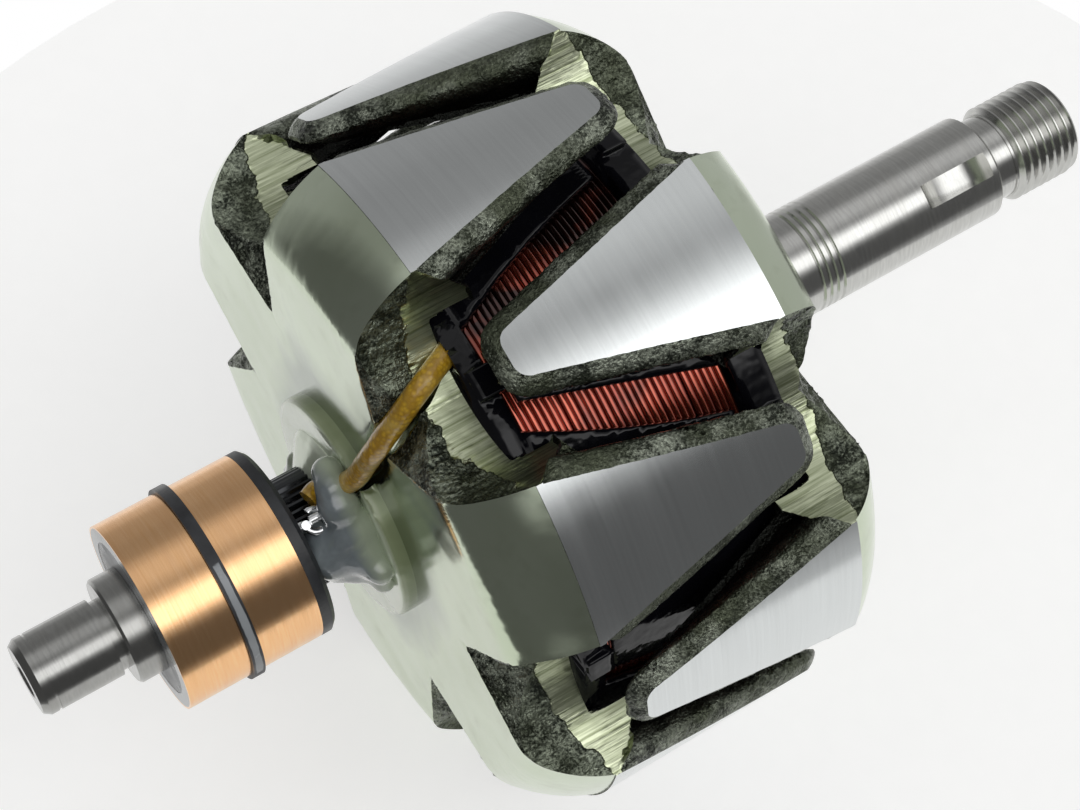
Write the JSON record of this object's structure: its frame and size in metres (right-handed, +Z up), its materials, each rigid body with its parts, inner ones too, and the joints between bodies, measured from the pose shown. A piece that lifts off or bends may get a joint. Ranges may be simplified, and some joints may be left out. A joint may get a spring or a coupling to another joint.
{
  "type": "alternator rotor",
  "caption": "Claw pole generator rotor with a field winding, two slip rings, a keyed and threaded shaft and leads set in resin.",
  "frame": {"origin": "on the shaft axis, in the middle of the drive end bearing seat", "axes": "+X along the shaft towards the threaded end, +Z up, the slip rings at the -X end"},
  "size_m": [0.1815, 0.1084, 0.1084],
  "materials": {
    "ground_shaft_steel": "ground",
    "forged_pole_steel": "forged and varnished, ground outside",
    "core_steel": "turned",
    "bobbin_nylon": "moulded, gloss",
    "enamelled_copper": "dark red enamel, gloss",
    "hub_plastic": "moulded, satin",
    "ring_copper": "turned, brushed",
    "tinned_copper": "tinned",
    "lead_sleeve": "varnished fibre sleeve",
    "potting_resin": "clear cast resin"
  },
  "bodies": {
    "root": {"shaft": "ground_shaft_steel", "slip_end_pole": "forged_pole_steel", "drive_end_pole": "forged_pole_steel", "field_core": "core_steel", "bobbin": "bobbin_nylon", "field_winding": "enamelled_copper", "slip_ring_hub": "hub_plastic", "outer_slip_ring": "ring_copper", "inner_slip_ring": "ring_copper", "outer_ring_terminal": "tinned_copper", "inner_ring_terminal": "tinned_copper", "start_lead_sleeve": "lead_sleeve", "finish_lead_sleeve": "lead_sleeve", "start_lead_wire": "tinned_copper", "finish_lead_wire": "tinned_copper", "start_lead_potting": "potting_resin", "finish_lead_potting": "potting_resin"}
  },
  "joints": []
}
